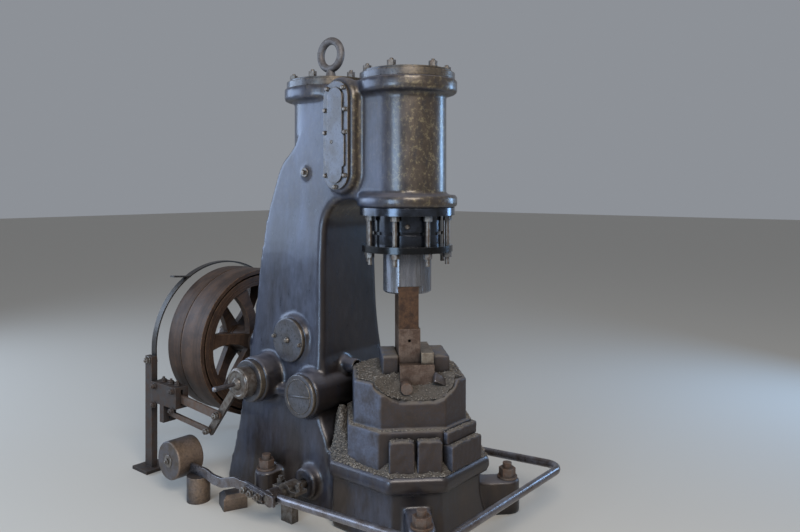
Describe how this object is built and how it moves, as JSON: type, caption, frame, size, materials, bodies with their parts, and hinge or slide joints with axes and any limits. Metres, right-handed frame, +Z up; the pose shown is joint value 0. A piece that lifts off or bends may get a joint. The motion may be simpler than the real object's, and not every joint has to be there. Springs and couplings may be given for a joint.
{
  "type": "pneumatic forging hammer",
  "caption": "Belt-driven pneumatic forging hammer: C-shaped iron casting with working and compressor cylinders, sliding ram, octagonal anvil in a base pan, rear pulleys and treadle.",
  "frame": {"origin": "on the foundation plane, under the axis of the ram", "axes": "+Z up along the ram, -Y towards the operator, +Y towards the belt pulleys, -X towards the hand lever"},
  "size_m": [0.985, 1.741, 1.9545],
  "materials": {
    "frame_iron": "blackened, oily",
    "gland_steel": "turned, oily and dark",
    "bright_steel": "polished by use",
    "dark_steel": "dark and oily",
    "die_steel": "scaled by heat",
    "rusty_steel": "rusted",
    "forged_steel": "forged, dull",
    "anvil_iron": "dusty with scale",
    "pulley_iron": "rust brown patina",
    "treadle_steel": "worn bright on top"
  },
  "bodies": {
    "frame": {"frame_casting": "frame_iron", "working_cylinder_cover": "frame_iron", "compressor_cylinder_cover": "frame_iron", "cover_nuts": "dark_steel", "lifting_eye": "forged_steel", "valve_cover": "frame_iron", "upper_housing_cover": "frame_iron", "lower_housing_cover": "frame_iron", "gland_top_ring": "gland_steel", "gland_body": "gland_steel", "gland_lower_ring": "gland_steel", "gland_studs": "dark_steel", "gland_nuts": "dark_steel", "shaft_bearing_cap": "frame_iron", "anvil": "anvil_iron", "die_shoe": "die_steel", "bottom_die": "die_steel", "bottom_die_key": "bright_steel", "shoe_bolt": "rusty_steel", "wedge_blocks": "anvil_iron", "rim_bar_lower": "anvil_iron", "rim_bar_upper": "anvil_iron", "lever_seat": "frame_iron", "shifter_guide": "rusty_steel", "belt_hoop": "forged_steel", "hoop_posts": "rusty_steel", "treadle_shafts": "dark_steel", "shaft_chairs": "frame_iron", "shaft_chair_bolts": "dark_steel", "lever_stop": "anvil_iron", "foundation_bolts": "rusty_steel"},
    "ram": {"ram": "bright_steel", "top_die": "rusty_steel", "top_die_key": "bright_steel"},
    "drive_shaft": {"crankshaft": "dark_steel", "shaft_collar": "dark_steel", "fast_pulley": "pulley_iron"},
    "loose_pulley": {"loose_pulley": "pulley_iron"},
    "control_lever": {"hand_lever": "dark_steel", "control_spindle": "bright_steel"},
    "upper_link": {"link_bar_upper": "rusty_steel"},
    "lower_link": {"link_bar_lower": "rusty_steel"},
    "treadle": {"treadle_bar": "treadle_steel", "treadle_lever": "treadle_steel", "balance_weight": "anvil_iron"}
  },
  "joints": [
    {"name": "ram_stroke", "type": "slide", "parent": "frame", "child": "ram", "axis": [0, 0, 1], "range_m": [0, 0.26]},
    {"name": "shaft_spin", "type": "hinge", "parent": "frame", "child": "drive_shaft", "pos_m": [0, 0.9, 0.563], "axis": [0, 1, 0], "continuous": true},
    {"name": "loose_pulley_spin", "type": "hinge", "parent": "drive_shaft", "child": "loose_pulley", "pos_m": [0, 1.1, 0.563], "axis": [0, 1, 0], "continuous": true},
    {"name": "lever_swing", "type": "hinge", "parent": "frame", "child": "control_lever", "pos_m": [-0.35, 0.6, 0.49], "axis": [1, 0, 0], "range_deg": [-10, 10]},
    {"name": "upper_link_turn", "type": "hinge", "parent": "control_lever", "child": "upper_link", "pos_m": [-0.37, 0.72317, 0.33626], "axis": [1, 0, 0], "range_deg": [-15, 15]},
    {"name": "lower_link_turn", "type": "hinge", "parent": "control_lever", "child": "lower_link", "pos_m": [-0.37, 0.78507, 0.25899], "axis": [1, 0, 0], "range_deg": [-18, 18]},
    {"name": "treadle_press", "type": "hinge", "parent": "frame", "child": "treadle", "pos_m": [0, 0.31, 0.121], "axis": [1, 0, 0], "range_deg": [0, 6]}
  ],
  "couplings": [
    {"joint": "upper_link_turn", "follows": "lever_swing", "ratio": -1.3657},
    {"joint": "lower_link_turn", "follows": "lever_swing", "ratio": -1.5971}
  ]
}
